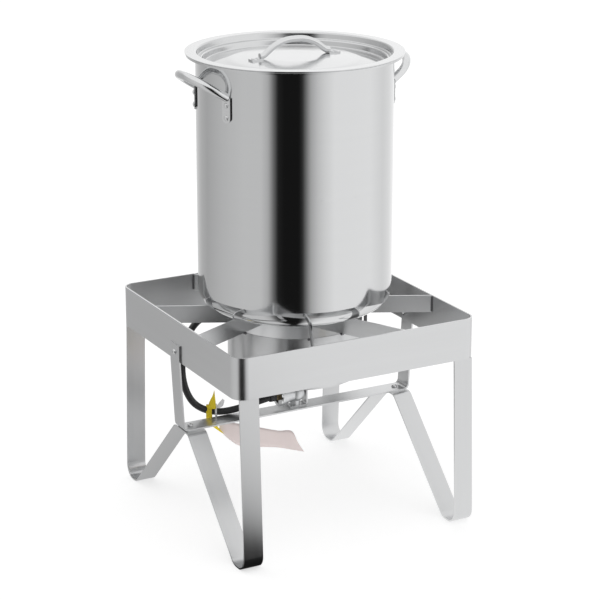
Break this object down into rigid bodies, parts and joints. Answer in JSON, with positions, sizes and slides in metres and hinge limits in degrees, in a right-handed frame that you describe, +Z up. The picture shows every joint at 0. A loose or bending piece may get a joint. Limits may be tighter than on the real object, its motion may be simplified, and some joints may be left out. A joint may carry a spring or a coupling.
{
  "type": "brew kettle with gas burner stand",
  "caption": "Tall lidded steel brew kettle with side handles on a square burner stand with bent strip legs, wind guard, gas burner and hose.",
  "frame": {"origin": "on the floor under the middle of the stand", "axes": "+Z up, X along the brace strap under the burner, Y across it"},
  "size_m": [0.428, 0.434, 0.7617],
  "materials": {
    "brushed_steel": "brushed",
    "stand_steel": "satin",
    "zinc_steel": "zinc plated",
    "cast_iron": "cast, light grey",
    "brass": "machined",
    "hose_rubber": "matt black",
    "black_plastic": "matt black",
    "regulator_zinc": "die cast, grey"
  },
  "bodies": {
    "stand": {"skirt_frame": "stand_steel", "pot_support_right": "stand_steel", "pot_support_back": "stand_steel", "pot_support_left": "stand_steel", "pot_support_front": "stand_steel", "wind_guard": "stand_steel", "leg_strip_left": "stand_steel", "leg_strip_right": "stand_steel", "brace_strap": "stand_steel", "hanger_bolts": "zinc_steel", "hanger_nuts": "zinc_steel", "brace_bolts": "zinc_steel", "brace_nuts": "zinc_steel", "burner_body": "cast_iron", "burner_head": "cast_iron", "burner_bracket": "stand_steel", "burner_bolt": "zinc_steel", "orifice_spud": "brass", "hose_ferrule": "black_plastic", "gas_hose": "hose_rubber", "hose_coil": "hose_rubber", "hose_tail": "hose_rubber", "coil_tie": "black_plastic", "tail_ferrule": "black_plastic", "regulator_body": "regulator_zinc"},
    "kettle": {"kettle_shell": "brushed_steel", "side_handle_left": "brushed_steel", "side_handle_right": "brushed_steel", "handle_rivets": "brushed_steel"},
    "lid": {"lid_pan": "brushed_steel", "lid_handle": "brushed_steel", "lid_rivets": "brushed_steel"},
    "shutter": {"air_shutter": "zinc_steel"},
    "knob": {"regulator_knob": "black_plastic"},
    "nut": {"tank_nut": "black_plastic"}
  },
  "joints": [
    {"name": "kettle_lift", "type": "slide", "parent": "stand", "child": "kettle", "axis": [0, 0, 1], "range_m": [0, 0.25]},
    {"name": "lid_lift", "type": "slide", "parent": "kettle", "child": "lid", "axis": [0, 0, 1], "range_m": [0, 0.15]},
    {"name": "shutter_turn", "type": "hinge", "parent": "stand", "child": "shutter", "pos_m": [-0.0308, 0, 0.182], "axis": [1, 0, 0], "range_deg": [0, 75]},
    {"name": "knob_turn", "type": "hinge", "parent": "stand", "child": "knob", "pos_m": [0.083, 0.17733, 0.14067], "axis": [1, 0, 0], "range_deg": [0, 270]},
    {"name": "nut_turn", "type": "hinge", "parent": "stand", "child": "nut", "pos_m": [0.04, 0.17733, 0.14067], "axis": [1, 0, 0], "continuous": true}
  ]
}
